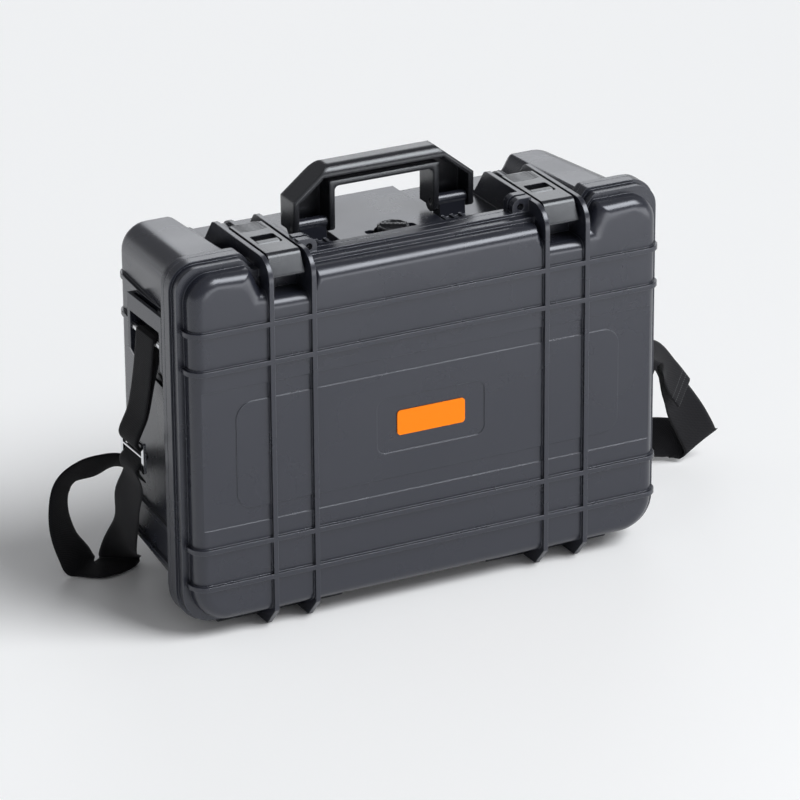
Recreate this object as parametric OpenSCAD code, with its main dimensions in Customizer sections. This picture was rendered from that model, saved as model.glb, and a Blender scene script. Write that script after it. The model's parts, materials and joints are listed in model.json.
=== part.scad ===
// Hard case for a laptop, standing on its hinge side with the carry handle up.
// X runs along the width, Y from the lid to the back, Z is up.
// The parting plane between lid and body is Y = 0, and the floor is Z = 0.

/* [Case] */
// Width over the rims
case_w = 554; // [480:2:666]
// Depth of the body behind the parting plane
body_d = 166; // [130:1:200]
// Depth of the lid in front of the parting plane, without its ribs
lid_d = 42; // [40:1:56]
// Height of the rims at mid width
rim_h = 379; // [330:1:450]
// How far the raised shoulders stand above the rims
shoulder_rise = 13.5; // [10:0.5:16]
// Width of a raised shoulder
shoulder_w = 84; // [70:1:110]
// Wall thickness of both shells
wall = 4; // [3:0.5:5]
// How far the rims stand out from the walls
rim_out = 11; // [10:0.5:14]
// Depth of the lid rim along Y
lid_rim = 22; // [20:0.5:26]
// Depth of the body rim along Y
body_rim = 12; // [10:0.5:14]
// Slope of the body's side walls
side_draft = 4.5; // [1:0.5:5]
// Radius of the body's rear edges
back_r = 15; // [8:1:20]
// Radius of the lid's front edges
face_r = 13; // [12:0.5:16]
// Gap between the two rims
seam = 0.6; // [0.3:0.1:0.8]

/* [Ribs] */
// Thickness of the ribs
rib_t = 5; // [4:0.5:6]
// How far the ribs stand out
rib_out = 4; // [3:0.5:5]
// Distance of the inner upright ribs from the middle
rib_x1 = 133; // [120:1:150]
// Height of the lowest level rib above the rims' bottom
rib_low = 49; // [40:1:60]
// Distance of the highest level rib below the rims' top
rib_high = 54; // [46:1:66]
// Distance between the two level ribs of a pair
rib_step = 41; // [30:1:50]
// Top of the latch fins above the rims
fin_rise = 12.5; // [12:0.5:14]
// How far back the tall fins run
fin_back = 106; // [90:1:115]

/* [Latch] */
// Width of a latch lever
lever_w = 36; // [32:0.5:44]
// Clearance between a lever and the fin on each side of it
lever_gap = 3; // [2:0.5:5]
// Plate thickness of the lever
lever_t = 3.5; // [3:0.25:4]
// Length of the pull tab behind the parting plane
tab_l = 65; // [55:1:75]
// Radius of the steel latch and hook pins
latch_pin_r = 2; // [1.5:0.25:2.25]
// Width of the claw
claw_w = 24; // [20:0.5:29]

/* [Handle] */
// Width over the handle's arms
handle_w = 206; // [190:2:220]
// Clear width of the finger opening
grip_open = 114; // [100:2:120]
// Height of the handle's top above the body top
handle_h = 79; // [72:1:84]
// Depth of the handle along Y
handle_d = 32; // [28:1:34]
// Place of the handle pivot behind the parting plane
pivot_y = 68; // [66:1:72]
// Radius of the handle pins
handle_pin_r = 2.5; // [2:0.25:3]

/* [Hinge] */
// Radius of the hinge knuckles
knuckle_r = 7; // [6:0.25:8.5]
// Radius of the hinge pins
hinge_pin_r = 2; // [1.5:0.25:2.5]
// Length of each hinge
hinge_l = 141; // [130:1:150]

/* [Fittings] */
// Diameter of the purge valve's knob
knob_d = 36; // [30:1:38]
// Width of the label plate
label_w = 78; // [60:1:90]
// Height of the label plate
label_h = 27; // [20:1:32]
// Width of the shoulder webbing
strap_w = 44; // [38:1:48]
// Room beside the webbing in its side pockets
strap_room = 13; // [6:1:16]
// Thickness of the shoulder webbing
strap_t = 2; // [1.5:0.25:2.5]
// Radius of the strap pins
strap_pin_r = 4; // [3:0.25:4.5]

/* [Foam] */
// Length of the laptop pocket
laptop_w = 390; // [340:5:410]
// Height of the laptop pocket
laptop_h = 275; // [230:5:290]
// Depth of the laptop pocket
laptop_t = 42; // [30:1:60]

/* [Hidden] */

shell_c = "#34363d";
steel_c = "#b9bcc0";
foam_c = "#4a4b50";

// half sizes and levels, worked out from the driving dimensions
hw = case_w / 2;
rim_z0 = 11;
rim_z1 = rim_z0 + rim_h;
sho_z = rim_z1 + shoulder_rise;
bot_r = 38;
top_r = 28;
deck_z = rim_z1 - 18;
plateau_z = deck_z + 3;
pocket_in = hw - shoulder_w;
latch_bay = lever_w + 2 * lever_gap + rib_t;
rib_x2 = rib_x1 + latch_bay;
rib_za = rim_z0 + rib_low;
rib_zb = rim_z1 - rib_high;
level_z = [rib_za, rib_za + rib_step, rib_zb - rib_step, rib_zb];
grid_z = (rib_za + rib_zb) / 2;
field_h = rib_zb - rib_za - 2 * rib_step;
latch_x = (rib_x1 + rib_x2) / 2;
fin_z = rim_z1 + fin_rise;
fit = 0.05;
big = 900;

// ---- outlines -------------------------------------------------------------

function unit(v) = v / norm(v);
function arc(cx, cz, r, a0, a1, n) =
    [for (i = [0 : n]) let (a = a0 + (a1 - a0) * i / n) [cx + r * cos(a), cz + r * sin(a)]];

// arc of radius r that rounds the corner b between a and c
function fillet(a, b, c, r, n) =
    let (u = unit(a - b), v = unit(c - b), h = acos(u * v) / 2, m = b + unit(u + v) * r / sin(h),
         p = b + u * r / tan(h) - m, q = b + v * r / tan(h) - m,
         a0 = atan2(p[1], p[0]), turn = (atan2(q[1], q[0]) - a0 + 540) % 360 - 180)
    arc(m[0], m[1], r, a0, a0 + turn, n);

// points strictly between p and q, on a half wave that leaves and arrives level
function ease(p, q, n) =
    [for (i = [1 : n - 1]) let (t = i / n) [p[0] + (q[0] - p[0]) * t,
                                            p[1] + (q[1] - p[1]) * (1 - cos(180 * t)) / 2]];

// right half of the case outline, from bottom middle to top middle, drawn in by g:
// w half width, z0 bottom, zs shoulder top, zb top beside the latches, zm top at mid width
function half_outline(w, z0, zs, zb, zm, g) =
    let (rb = max(bot_r - g, 2), rt = max(top_r - g, 2), in = pocket_in + g,
         p = [in + 7, zs - g], q = [in - 9, zb - g],
         c = [rib_x1 - 3, zb - g], m = [rib_x1 - 7 - g / 3, zm - g])
    concat(arc(w - g - rb, z0 + g + rb, rb, -90, 0, 10),
           arc(w - g - rt, zs - g - rt, rt, 0, 90, 9),
           [p], ease(p, q, 7), [q], [c], ease(c, m, 4), [m]);

function mirrored(h) = [for (i = [len(h) - 1 : -1 : 0]) [-h[i][0], h[i][1]]];
function outline(w, z0, zs, zb, zm, g) =
    let (h = half_outline(w, z0, zs, zb, zm, g)) concat(h, mirrored(h));

function rim_outline(g) = outline(hw, rim_z0, sho_z, rim_z1, rim_z1, g);

// outline of the body's wall at depth y, drawn in by g
function body_ring(y, g) =
    [for (p = outline(hw - rim_out - y * tan(side_draft), rim_z0 + 9 + y * 0.05,
                      sho_z - 7.5 - y * 0.05, deck_z - 2, deck_z - 2, g)) [p[0], y, p[1]]];

// outline of the lid's wall at depth y, drawn in by g
function lid_ring(y, g) =
    [for (p = outline(hw - rim_out + 1 - abs(y) * 0.03, rim_z0 + 7, sho_z - 9.5,
                      rim_z1 - 20, rim_z1 - 7, g)) [p[0], y, p[1]]];

// a closed skin over rings of equal length, capped at both ends
module loft(rings) {
    n = len(rings[0]);
    m = len(rings);
    polyhedron(points = [for (r = rings) for (p = r) p],
        faces = concat(
            [[for (i = [0 : n - 1]) i]],
            [[for (i = [n - 1 : -1 : 0]) (m - 1) * n + i]],
            [for (j = [0 : m - 2]) for (i = [0 : n - 1])
                [j * n + i, (j + 1) * n + i, (j + 1) * n + (i + 1) % n]],
            [for (j = [0 : m - 2]) for (i = [0 : n - 1])
                [j * n + i, (j + 1) * n + (i + 1) % n, j * n + (i + 1) % n]]));
}

// slab of the case outline between two depths
module rim_slab(y0, y1, g) {
    translate([0, y1, 0]) rotate([90, 0, 0]) linear_extrude(y1 - y0) polygon(rim_outline(g));
}

// plate drawn in the YZ plane and centred on x
module side_plate(x, t) {
    translate([x - t / 2, 0, 0]) rotate([90, 0, 90]) linear_extrude(t) children();
}

// plate drawn in the XZ plane from y0 to y1
module front_plate(y0, y1) {
    translate([0, y1, 0]) rotate([90, 0, 0]) linear_extrude(y1 - y0) children();
}

// rod along X, along Y
module rod_x(r, x0, x1) translate([x0, 0, 0]) rotate([0, 90, 0]) cylinder(r = r, h = x1 - x0, $fn = 40);
module rod_y(r, y0, y1) translate([0, y0, 0]) rotate([-90, 0, 0]) cylinder(r = r, h = y1 - y0, $fn = 40);

module box(x0, x1, y0, y1, z0, z1) translate([x0, y0, z0]) cube([x1 - x0, y1 - y0, z1 - z0]);

module both_sides() {
    children();
    mirror([1, 0, 0]) children();
}

// rectangle with round corners and true arcs
module round_rect(x0, x1, y0, y1, r) {
    translate([x0 + r, y0]) square([x1 - x0 - 2 * r, y1 - y0]);
    translate([x0, y0 + r]) square([x1 - x0, y1 - y0 - 2 * r]);
    for (x = [x0 + r, x1 - r]) for (y = [y0 + r, y1 - r]) translate([x, y]) circle(r, $fn = 40);
}

// ---- hinge ----------------------------------------------------------------

hinge_z = knuckle_r + 0.5;
hinge_x0 = latch_x - hinge_l / 2;
hinge_x1 = latch_x + hinge_l / 2;
joint_gap = 0.6;
lid_k = [[rib_x1 - 21, rib_x1 + 4], [rib_x2 - 4, rib_x2 + 21]];
body_k = [[hinge_x0, lid_k[0][0] - joint_gap], [lid_k[0][1] + joint_gap, lid_k[1][0] - joint_gap],
          [lid_k[1][1] + joint_gap, hinge_x1]];

module knuckles(spans, r) {
    for (s = spans) translate([0, 0, hinge_z]) rod_x(r, s[0], s[1]);
}

module knuckle_relief(spans) {
    for (s = spans) translate([0, 0, hinge_z]) rod_x(knuckle_r + joint_gap, s[0] - joint_gap, s[1] + joint_gap);
}

module hinge_bore() translate([0, 0, hinge_z]) rod_x(hinge_pin_r + fit, hinge_x0 + 3, hinge_x1 - 3);

module hinge_pin() color(steel_c) translate([0, 0, hinge_z]) rod_x(hinge_pin_r, hinge_x0 + 3.5, hinge_x1 - 3.5);

// ---- latch geometry ---------------------------------------------------------

lever_y = -lid_rim;
lever_z = rim_z1 - 12.7;
claw_y = 4;
claw_z = rim_z1 + 3.5;
claw_tuck = 50;
bay_x0 = rib_x1 + rib_t / 2;
bay_x1 = rib_x2 - rib_t / 2;
recess_y1 = -10;
recess_z = rim_z1 - 30;
sill_r = 11;

module eyelet(y0, y1) {
    x = rib_x1 - 12.2;
    z = rim_z1 + 5.5;
    front_plate(y0, y1) difference() {
        union() {
            translate([x, z]) circle(9.2, $fn = 40);
            translate([x - 9.2, z - 12]) square([18, 12]);
            translate([x, z - 12]) square([12.2, 21.2]);
        }
        translate([x, z]) circle(3.75, $fn = 40);
    }
}

// ---- shells -----------------------------------------------------------------

module lid_fin() {
    polygon(concat(
        [[-seam / 2, 0], [-27, 0], [-lid_d - rib_out, 21], [-lid_d - rib_out, fin_z - 24]],
        arc(-lid_d - rib_out + 24, fin_z - 24, 24, 180, 90, 6),
        [[-seam / 2, fin_z]]));
}

module body_fin() {
    polygon(concat(
        [[11, 0], [fin_back - 8, 0], [fin_back + 6, 26], [fin_back + 6, deck_z - 3]],
        arc(fin_back - 24, fin_z - 9, 9, 30, 90, 4),
        [[seam / 2, fin_z], [seam / 2, rim_z1 - 4], [11, rim_z0]]));
}

// steps of a rounded edge; its last ring lies past the flat, which then cuts it clean
edge_steps = [0, 18, 36, 54, 72];
last_step = 72;

module lid_skin(g, y_end) {
    r = max(face_r - g, 3);
    y_face = -lid_d + g;
    intersection() {
        loft(concat([lid_ring(y_end, g)],
            [for (a = edge_steps) lid_ring(y_face + r - r * sin(a), g + r * (1 - cos(a)))],
            [lid_ring(y_face - r * (1 - sin(last_step)), g + r * (1 + cos(last_step)))]));
        box(-big, big, y_face, y_end + 1, -big, big);
    }
}

module body_skin(g, y_start, y_end) {
    r = max(back_r - g, 3);
    intersection() {
        loft(concat([body_ring(y_end + r * (1 - sin(last_step)), g + r * (1 + cos(last_step)))],
            [for (a = turned(edge_steps)) body_ring(y_end - r + r * sin(a), g + r * (1 - cos(a)))],
            [body_ring(y_start, g)]));
        box(-big, big, y_start - 1, y_end, -big, big);
    }
}

module level_ribs(y0, y1) {
    for (z = level_z)
        box(-big / 2, big / 2, y0, y1, z - rib_t / 2, z + rib_t / 2);
}

module upright_ribs(y0, y1) {
    for (x = [-rib_x2, -rib_x1, rib_x1, rib_x2])
        box(x - rib_t / 2, x + rib_t / 2, y0, y1, 0, big);
}

// shallow steps on the lid face: a sunk band, a raised panel in it and a sunk field in that
module face_relief() {
    front_plate(-lid_d - 1, -lid_d + 1) difference() {
        translate([-big / 2, grid_z - field_h / 2 + 22]) square([big, field_h - 44]);
        round_rect(-hw + 57, hw - 57, grid_z - field_h / 2 + 39, grid_z + field_h / 2 - 39, 18);
    }
    front_plate(-lid_d - 1, -lid_d + 1) round_rect(-label_w / 2 - 23, label_w / 2 + 23, grid_z - label_h / 2 - 16.5, grid_z + label_h / 2 + 16.5, 10);
}

module lid_shell() color(shell_c) difference() {
    union() {
        difference() {
            union() {
                difference() {
                    lid_skin(0, -4);
                    face_relief();
                }
                intersection() {
                    lid_skin(-rib_out, -4);
                    level_ribs(-lid_d - rib_out - 1, -6);
                }
                rim_slab(-lid_rim / 2, -seam / 2, 0);
                rim_slab(-lid_rim, -lid_rim / 2, 3);
                for (x = [-rib_x2, -rib_x1, rib_x1, rib_x2]) side_plate(x, rib_t) lid_fin();
            }
            lid_skin(wall, 1);
            // rim cut back to a thin wall between the latch fins
            for (s = [-1, 1]) box(min(s * bay_x0, s * bay_x1), max(s * bay_x0, s * bay_x1),
                                  -lid_rim - 8, recess_y1, recess_z, sho_z + 9);
        }
        // walls of the sunk latch recesses
        for (s = [-1, 1]) box(s * latch_x - latch_bay / 2 - 2, s * latch_x + latch_bay / 2 + 2,
                              -lid_d + wall - 1, recess_y1 + 3, recess_z - sill_r, rim_z1 - 21);
        both_sides() eyelet(-10, -2);
        both_sides() knuckles(lid_k, knuckle_r);
    }
    // groove for the gasket
    difference() {
        rim_slab(-5, 1, 5);
        rim_slab(-6, 2, 10);
    }
    // latch recesses down through the crown, over a rounded sill
    for (s = [-1, 1]) side_plate(s * latch_x, latch_bay - rib_t) polygon(concat(
        [[-lid_d - rib_out - 9, recess_z + 24], [-lid_d - 9, recess_z - sill_r], [-lid_d, recess_z - sill_r]],
        arc(sill_r - lid_d, recess_z - sill_r, sill_r, 170, 90, 6),
        [[recess_y1, recess_z], [recess_y1, rim_z1 + 30], [-lid_d - rib_out - 9, rim_z1 + 30]]));
    // bores for the latch pins through both fins
    both_sides() translate([0, lever_y, lever_z]) rod_x(latch_pin_r + fit, rib_x1 - 4, rib_x2 + 4);
    both_sides() knuckle_relief(body_k);
    both_sides() hinge_bore();
}

// carrier for one strap pin: two cheeks and a top rail round a pocket in the side wall
lug_y0 = 22;
lug_wall = 6;
lug_y1 = lug_y0 + strap_w + 2 * (strap_room + lug_wall);
lug_z0 = 262;
lug_z1 = 336;
lug_x = hw - 6;
lug_pin_x = lug_x - 5.5;
lug_pin_z = 300;
lug_in = lug_x - 22;

module lug_block(x0, x1, c) {
    front_plate(lug_y0 - c, lug_y1 + c)
        polygon([[x0, lug_z0 - c - 10], [x1 - 12, lug_z0 - c - 10], [x1, lug_z0 - c + 14],
                 [x1, lug_z1 + c], [x0, lug_z1 + c]]);
}

module lug_pocket() {
    // pocket round the pin, open outwards and downwards, with a slot up behind the top rail
    front_plate(lug_y0 + lug_wall, lug_y1 - lug_wall)
        polygon([[lug_in + 3, lug_z0 + 26], [lug_x - 12, lug_z0 - 9], [lug_x + 9, lug_z0 - 12],
                 [lug_x + 9, lug_z1 - 18], [lug_x - 4, lug_z1 - 18], [lug_x - 4, lug_z1 + 9],
                 [lug_x - 8, lug_z1 + 9], [lug_x - 8, lug_z1 - 14], [lug_in + 3, lug_z1 - 22]]);
}

// pivot barrels for the handle, each on a web with three rest ribs in front
pivot_z = deck_z + 16;
barrel_r = handle_pin_r + 3.75;
arm_x0 = grip_open / 2;
arm_x1 = handle_w / 2;
barrel_x0 = arm_x0 + 6.3;
barrel_x1 = arm_x1 - 6.3;

module handle_seat() {
    translate([0, pivot_y, pivot_z]) rod_x(barrel_r, barrel_x0, barrel_x1);
    side_plate((barrel_x0 + barrel_x1) / 2, barrel_x1 - barrel_x0 - 4)
        polygon([[pivot_y - 7, deck_z - 4], [pivot_y + 10, deck_z - 4], [pivot_y + 5, pivot_z],
                 [pivot_y - 5, pivot_z]]);
    for (i = [0 : 2]) box(barrel_x0 + 3 + i * 10, barrel_x0 + 6.5 + i * 10, body_rim - 2, pivot_y - 4,
                          deck_z - 6, deck_z);
}

module plateau() {
    front_plate(body_rim - 2, body_d - 8)
        polygon([[-61, deck_z - 5], [61, deck_z - 5], [61, plateau_z - 1], [60, plateau_z],
                 [-60, plateau_z], [-61, plateau_z - 1]]);
}

valve_y = 40;
knob_r = knob_d / 2;

module body_shell() color(shell_c) difference() {
    union() {
        difference() {
            union() {
                body_skin(0, 4, body_d);
                intersection() {
                    body_skin(-rib_out, 4, body_d - 1);
                    union() {
                        level_ribs(6, body_d);
                        upright_ribs(6, body_d);
                    }
                }
                rim_slab(seam / 2, 7, 0);
                rim_slab(6, body_rim, 2);
                for (x = [-rib_x2, -rib_x1, rib_x1, rib_x2]) side_plate(x, rib_t) body_fin();
                both_sides() lug_block(lug_in - 3, lug_x, 0);
                plateau();
                both_sides() handle_seat();
            }
            body_skin(wall, -1, body_d - wall);
        }
        // inner walls of the strap pockets
        both_sides() intersection() {
            lug_block(lug_in, lug_x - 6, 0);
            body_skin(0, 4, body_d);
        }
        // tongue that presses the gasket
        difference() {
            rim_slab(-2, 1, 6.5);
            rim_slab(-3, 2, 8.5);
        }
        both_sides() eyelet(2, 10);
        both_sides() knuckles(body_k, knuckle_r);
        // boss under the valve
        translate([0, valve_y, deck_z - 16]) cylinder(r = 24, h = 14, $fn = 48);
    }
    both_sides() lug_pocket();
    both_sides() translate([lug_pin_x, 0, lug_pin_z]) rod_y(strap_pin_r + fit, lug_y0 + 2, lug_y1 - 2);
    both_sides() knuckle_relief(lid_k);
    both_sides() hinge_bore();
    both_sides() translate([0, pivot_y, pivot_z]) rod_x(handle_pin_r + fit, barrel_x0 - 1, barrel_x1 + 1);
    // round seat and finger scoops of the valve, and its bore
    translate([0, valve_y, plateau_z - 6]) cylinder(r = knob_r + 2, h = 20, $fn = 64);
    for (s = [-1, 1]) translate([s * (knob_r + 5), valve_y, plateau_z - 4]) {
        translate([0, 7, 0]) cylinder(r = 5.5, h = 20, $fn = 32);
        translate([0, -7, 0]) cylinder(r = 5.5, h = 20, $fn = 32);
        translate([-5.5, -7, 0]) cube([11, 14, 20]);
    }
    translate([0, valve_y, deck_z - 30]) cylinder(r = 6 + fit, h = 40, $fn = 48);
}

module lid_gasket() color("#1b1b1d") difference() {
    rim_slab(-5, -2.3, 5.4);
    rim_slab(-6, -1, 9.6);
}

module label_plate() color("#f0801e")
    front_plate(-lid_d - 0.2, -lid_d + 1)
        round_rect(-label_w / 2, label_w / 2, grid_z + 1 - label_h / 2, grid_z + 1 + label_h / 2, 4);

// ---- latch ------------------------------------------------------------------

lever_top = fin_z;
claw_gap = 1;
cheek_t = 3;
claw_pin_r = latch_pin_r - 0.5;
nose = [lever_y - 15.2, lever_z + 3.2];
// outside of the lever from the nose over the front edge to the tab
lever_front = concat(fillet([lever_y - 9, lever_z + 0.6], nose, [lever_y - 3, lever_top], 2, 4),
                     fillet(nose, [lever_y - 3, lever_top], [tab_l, lever_top], 8, 6));

module lever_cheek() {
    difference() {
        union() {
            polygon(concat([[lever_y - 5, lever_z]], lever_front,
                [[tab_l - 2, lever_top], [tab_l - 2, lever_top - lever_t],
                 [38, claw_z - 2], [30, rim_z1 + 0.7], [recess_y1 - 0.7, rim_z1 + 0.7],
                 [lever_y + 10, rim_z1 - 2], [lever_y + 9, lever_z + 2], [lever_y + 4, lever_z]]));
            translate([lever_y, lever_z]) circle(latch_pin_r + 3, $fn = 40);
        }
        translate([lever_y, lever_z]) circle(latch_pin_r + fit, $fn = 40);
        translate([claw_y, claw_z]) circle(claw_pin_r + fit, $fn = 40);
    }
}

module latch_lever() color(shell_c) {
    for (s = [-1, 1]) side_plate(latch_x + s * (lever_w - cheek_t) / 2, cheek_t) lever_cheek();
    difference() {
        side_plate(latch_x, lever_w - 2 * cheek_t + 0.1)
            polygon(concat(lever_front,
                [[tab_l, lever_top], [tab_l + 1.5, lever_top - lever_t]],
                fillet([tab_l, lever_top - lever_t], [lever_y - 1, lever_top - lever_t],
                       [lever_y - 11.6, lever_z + 3], 4.5, 5),
                [[lever_y - 11.6, lever_z + 3]]));
        // window of the claw
        translate([latch_x, 0, lever_z]) linear_extrude(lever_top)
            round_rect(-claw_w / 2 - claw_gap, claw_w / 2 + claw_gap, claw_y - 2, claw_y + 23, 3);
        // curved finger grooves across the tab
        for (i = [0 : 6]) translate([latch_x, tab_l + 26, lever_top - 0.6]) difference() {
            cylinder(r = 30.6 + 3.2 * i, h = 2, $fn = 96);
            translate([0, 0, -1]) cylinder(r = 29.4 + 3.2 * i, h = 4, $fn = 96);
        }
    }
}

module latch_pin() color(steel_c) translate([0, lever_y, lever_z]) rod_x(latch_pin_r, rib_x1 - 2.5, rib_x2 + 2.5);

module claw_pin() color(steel_c) translate([0, claw_y, claw_z])
    rod_x(claw_pin_r, latch_x - lever_w / 2 + 0.2, latch_x + lever_w / 2 - 0.2);

module latch_claw() color(shell_c) translate([0, claw_y, claw_z]) rotate([claw_tuck, 0, 0]) difference() {
    union() {
        rod_x(claw_pin_r + 1.5, latch_x - claw_w / 2, latch_x + claw_w / 2);
        side_plate(latch_x, claw_w)
            polygon([[0, 2.6], [9, 2.5], [13, -2], [13, -12.5], [10.2, -12.5], [8.6, -9], [8.6, -2.6], [0, -2.6]]);
    }
    rod_x(claw_pin_r + fit, latch_x - claw_w, latch_x + claw_w);
}

// ---- handle -----------------------------------------------------------------

handle_y0 = pivot_y - 9;
handle_y1 = handle_y0 + handle_d;
grip_top = deck_z + handle_h - 2;
arm_foot = pivot_z - 11;
grip_low = grip_top - 22;

module handle_outline() {
    polygon([[-arm_x1, arm_foot], [-arm_x1, grip_top - 33], [-62, grip_top], [62, grip_top],
             [arm_x1, grip_top - 33], [arm_x1, arm_foot]]);
}

module handle_opening() round_rect(-arm_x0, arm_x0, arm_foot - 20, grip_low, 5);

module handle_groove() {
    // hollow of the two arms
    for (s = [-1, 1]) scale([s, 1]) polygon([[arm_x0 + 5.5, arm_foot - 9], [arm_x1 - 5.5, arm_foot - 9],
        [arm_x1 - 5.5, grip_top - 35.5], [68, grip_top - 11.5], [arm_x0 + 5.5, grip_top - 11.5]]);
}

module handle() color(shell_c) difference() {
    intersection() {
        front_plate(handle_y0, handle_y1) difference() {
            handle_outline();
            handle_opening();
        }
        side_plate(0, big) {
            round_rect(handle_y0, handle_y1, arm_foot - 30, grip_top, 11);
        }
        // rounded feet round the pivots
        union() {
            box(-big, big, handle_y0 - 1, handle_y1 + 1, pivot_z, grip_top + 9);
            translate([0, pivot_y, pivot_z]) rod_x(11, -arm_x1 - 1, arm_x1 + 1);
            box(-big, big, pivot_y, handle_y1 + 1, pivot_z - 5, pivot_z + 1);
        }
    }
    front_plate(handle_y0 - 1, handle_y1 - 8) handle_groove();
    front_plate(handle_y0 - 1, handle_y0 + 14)
        polygon([[-70, grip_top - 16.5], [70, grip_top - 16.5], [70, grip_top - 11.5], [-70, grip_top - 11.5]]);
    translate([0, pivot_y, pivot_z]) rod_x(handle_pin_r + fit, -arm_x1 + 1, arm_x1 - 1);
}

module handle_pin() color(steel_c) translate([0, pivot_y, pivot_z])
    rod_x(handle_pin_r, arm_x0 + 1.5, arm_x1 - 1.5);

// ---- valve ------------------------------------------------------------------

module valve_knob() color(shell_c) translate([0, valve_y, plateau_z - 5]) difference() {
    cylinder(r = knob_r, h = 8, $fn = 64);
    for (i = [0 : 11]) rotate([0, 0, i * 30]) translate([knob_r + 1.5, 0, -1]) cylinder(r = 3.5, h = 12, $fn = 24);
    translate([0, 0, -1]) cylinder(r = 5 + fit, h = 6, $fn = 40);
}

module valve_stem() color("#232427") translate([0, valve_y, 0]) {
    translate([0, 0, plateau_z - 6]) cylinder(r = 10, h = 0.8, $fn = 40);
    translate([0, 0, deck_z - 26]) cylinder(r = 6, h = plateau_z - 5.5 - deck_z + 26, $fn = 40);
    translate([0, 0, plateau_z - 6]) cylinder(r = 5, h = 5.7, $fn = 40);
}

module valve_seal() color("#151517") translate([0, valve_y, plateau_z - 6])
    difference() {
        cylinder(r = 14, h = 0.8, $fn = 40);
        translate([0, 0, -1]) cylinder(r = 10.4, h = 3, $fn = 40);
    }

module valve_nut() color("#232427") translate([0, valve_y, deck_z - 22.3]) difference() {
    cylinder(r = 12, h = 6, $fn = 6);
    translate([0, 0, -1]) cylinder(r = 6 + fit, h = 8, $fn = 40);
}

// ---- strap ------------------------------------------------------------------

module strap_pin() color(steel_c) translate([lug_pin_x, 0, lug_pin_z]) rod_y(strap_pin_r, lug_y0 + 2.5, lug_y1 - 2.5);

strap_y = (lug_y0 + lug_y1) / 2;
slide_x = hw + 10;
slide_z = 180;
bar_r = 1.6;
bar_gap = 14.5;
weave = bar_r + strap_t / 2 + 0.9;
ply = strap_t + 0.9;

module strap_slide() color(steel_c) {
    for (z = [-bar_gap, 0, bar_gap]) translate([slide_x, 0, slide_z + z])
        rod_y(bar_r, strap_y - strap_w / 2 - 3, strap_y + strap_w / 2 + 3);
    for (s = [-1, 1]) side_plate(slide_x, 2 * bar_r) translate([strap_y + s * (strap_w / 2 + 3.4), slide_z])
        round_rect(-2.8, 2.8, -bar_gap - 2.2, bar_gap + 2.2, 2);
}

// smooth curve through a list of points, k steps between neighbours
function spline(p, k) = concat(
    [for (i = [0 : len(p) - 2]) for (j = [0 : k - 1])
        let (t = j / k, a = p[max(i - 1, 0)], b = p[i], c = p[i + 1], d = p[min(i + 2, len(p) - 1)])
        0.5 * (2 * b + (c - a) * t + (2 * a - 5 * b + 4 * c - d) * t * t + (3 * b - a - 3 * c + d) * t * t * t)],
    [p[len(p) - 1]]);

// band of webbing along centre points, with the direction of its width at each of them;
// where fold is 1 that direction stays slanting to the band, as along a fold
module ribbon(centres, widths, folds, w, t) {
    n = len(centres);
    loft([for (i = [0 : n - 1])
        let (along = unit(centres[min(i + 1, n - 1)] - centres[max(i - 1, 0)]),
             slant = unit(widths[i] - (1 - folds[i]) * (widths[i] * along) * along),
             across = slant * w / 2 / max(norm(slant - (slant * along) * along), 0.8),
             up = unit(cross(along, across)) * t / 2)
        [centres[i] + across - up, centres[i] + across + up, centres[i] - across + up, centres[i] - across - up]]);
}

// the webbing from the slide up to the pin, d nearer to the case than its outer ply
function ply_up(d) = [[slide_x + weave + ply - d, strap_y, slide_z - bar_gap], [slide_x - weave - d, strap_y, slide_z],
    [slide_x + weave + ply - d, strap_y, slide_z + bar_gap], [slide_x - 5 - d, strap_y, slide_z + 42],
    [slide_x - 12 - 1.6 * d, strap_y, slide_z + 80]];
wrap_r = strap_pin_r + strap_t / 2 + 0.3;
function over_pin() = [for (a = [0 : 45 : 180])
    [lug_pin_x + wrap_r * cos(a), strap_y, lug_pin_z + wrap_r * sin(a)]];
function turned(p) = [for (i = [len(p) - 1 : -1 : 0]) p[i]];
function flipped(p) = [for (q = p) [-q[0], q[1], q[2]]];

// case size round which the way points lie, and a way point carried along by the case's side and back
drawn_w = 554;
drawn_d = 166;
function placed(q) = [q[0] + sign(q[0]) * (case_w - drawn_w) / 2,
                      q[1] + (body_d - drawn_d) * min(max((q[1] - 92) / 45, 0), 1), q[2]];

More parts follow.
